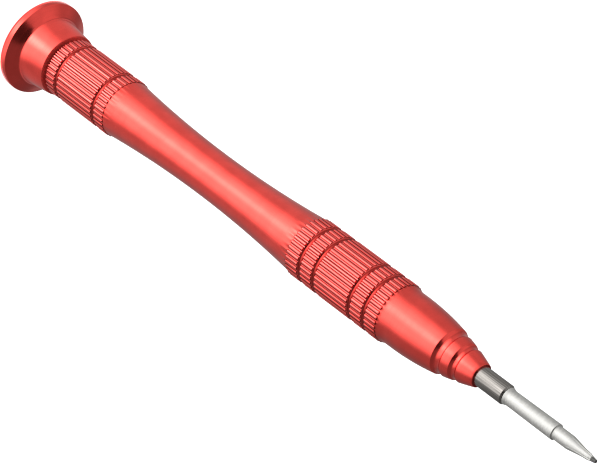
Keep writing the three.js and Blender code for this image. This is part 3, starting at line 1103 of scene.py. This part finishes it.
def light_level(n, heading, stage, near, far):
    """The studio's level round the tool.

    A broad front light has a brighter core, which is narrower near the tool. The sides are dimmer, more so
    far from the tool, and the back is dim.
    """
    narrowed = n.math("MULTIPLY", heading, n.math("MULTIPLY_ADD", near, stage.near_narrow, 1.0))
    core = n.ramp(n.math("ABSOLUTE", narrowed), 0.0, CORE_EDGE, stage.core_light, 0.0)
    core = n.math("MULTIPLY", core, n.math("MULTIPLY_ADD", near, stage.near_core, 1.0))
    right_edge = n.ramp(narrowed, *RIGHT_EDGE, stage.front_light, 0.0)
    left_edge = n.ramp(narrowed, *LEFT_EDGE, 0.0, stage.front_light)
    front = n.math("ADD", core, n.math("MINIMUM", left_edge, right_edge))
    side = n.ramp(heading, *SIDES, stage.left_side, stage.right_side)
    far_loss = n.ramp(heading, *SIDES, stage.left_far - 1, stage.right_far - 1)
    side = n.math("MULTIPLY", side, n.math("MULTIPLY_ADD", far, far_loss, 1.0))
    back = n.ramp(n.math("ABSOLUTE", heading), *BACK, 1.0, stage.back_share)
    return n.math("ADD", front, n.math("MULTIPLY", side, back))


def add_light_table(scene, stage):
    """A ring of light on the floor round the tool, which only metal sees."""
    bm = bmesh.new()
    ends = [bm.verts.new((0, -radius, TABLE_HEIGHT)) for radius in (TABLE_INNER, TABLE_OUTER)]
    bm.edges.new(ends)
    turn_plain(bm, whole(bm), COARSE_COLUMNS)
    n = new_material("table_light")
    place = n.place()
    distance = n.vector("LENGTH", place)
    near, far = n.ramp(distance, *NEAR, 1.0, 0.0), n.ramp(distance, *FAR)
    level = light_level(n, heading_of(n, place), stage, near, far)
    # Painted contact shadow: the table's light is dimmed right beside the cap
    level = n.math("MULTIPLY", level, n.ramp(distance, *CONTACT_SHADOW, stage.contact_shadow, 1.0))
    glow = n.add("ShaderNodeEmission", Strength=level)
    table = add_stage_mesh(scene, bm, "light_table", n.output(glow.outputs[0]))
    table.visible_camera = table.visible_diffuse = table.visible_shadow = False


def add_top_box(scene, stage):
    """A wide soft box overhead for the floor and the tool's shadow; metal doesn't show it."""
    data = bpy.data.lights.new("top_box", "AREA")
    data.size = BOX_SIZE
    data.energy = stage.top_box
    lamp = bpy.data.objects.new("top_box", data)
    lamp.location = (0, 0, BOX_HEIGHT)
    lamp.visible_camera = lamp.visible_glossy = False
    scene.collection.objects.link(lamp)


def add_world(scene, stage):
    """A studio that carries the table's level past the horizon, to a bright left and a dim right panel."""
    n = Nodes(bpy.data.worlds.new("studio"))
    direction = n.add("ShaderNodeTexCoord").outputs["Generated"]
    heading = heading_of(n, direction)
    across, back, rise = n.parts(direction)
    left = n.ramp(back, *BEHIND, stage.left_sky, stage.left_back_sky)
    left = n.math("MULTIPLY", left, n.ramp(across, *LEFT_PANEL, 1.0, 0.0))
    right = n.ramp(across, *RIGHT_PANEL, 0.0, stage.right_sky)
    sky = n.math("ADD", n.math("ADD", left, right), stage.dim_sky)
    horizon = n.ramp(rise, *HORIZON, 1.0, 0.0)
    level = n.math("MULTIPLY", light_level(n, heading, stage, 0.0, 1.0), horizon)
    level = n.math("MULTIPLY_ADD", sky, n.math("SUBTRACT", 1.0, horizon), level)
    background = n.add("ShaderNodeBackground", Strength=level)
    scene.world = n.output(background.outputs[0], "ShaderNodeOutputWorld")


# Panel and registration


class SCREWDRIVER_PT_panel(bpy.types.Panel):
    """Buttons and sizes of the screwdriver"""

    bl_idname = "SCREWDRIVER_PT_panel"
    bl_label = "Eyeglass Screwdriver"
    bl_space_type = "VIEW_3D"
    bl_region_type = "UI"
    bl_category = "Screwdriver"

    def draw(self, context):
        tool = context.scene.screwdriver
        for operator in OPERATORS:
            self.layout.operator(operator.bl_idname)
        for name in GROUPS:
            box = self.layout.box()
            box.label(text=name.title())
            group = getattr(tool, name)
            for key in group.bl_rna.properties.keys():
                if key not in {"rna_type", "name"}:
                    box.prop(group, key)


GROUPS = ("cap", "handle", "knurl", "socket", "bit", "finish", "stage")
OPERATORS = (
    SCREWDRIVER_OT_cap,
    SCREWDRIVER_OT_handle,
    SCREWDRIVER_OT_socket,
    SCREWDRIVER_OT_bit,
    SCREWDRIVER_OT_inside,
    SCREWDRIVER_OT_stage,
)
CLASSES = (
    CapSizes,
    HandleSizes,
    KnurlSizes,
    SocketSizes,
    BitSizes,
    Finishes,
    StageSettings,
    Screwdriver,
    *OPERATORS,
    SCREWDRIVER_PT_panel,
)


def register():
    for cls in CLASSES:
        bpy.utils.register_class(cls)
    bpy.types.Scene.screwdriver = bpy.props.PointerProperty(type=Screwdriver)


def unregister():
    del bpy.types.Scene.screwdriver
    for cls in reversed(CLASSES):
        bpy.utils.unregister_class(cls)


def main():
    register()
    bpy.ops.screwdriver.cap()
    bpy.ops.screwdriver.handle()
    bpy.ops.screwdriver.socket()
    bpy.ops.screwdriver.bit()
    bpy.ops.screwdriver.inside()
    bpy.ops.screwdriver.stage()


if __name__ == "__main__":
    main()
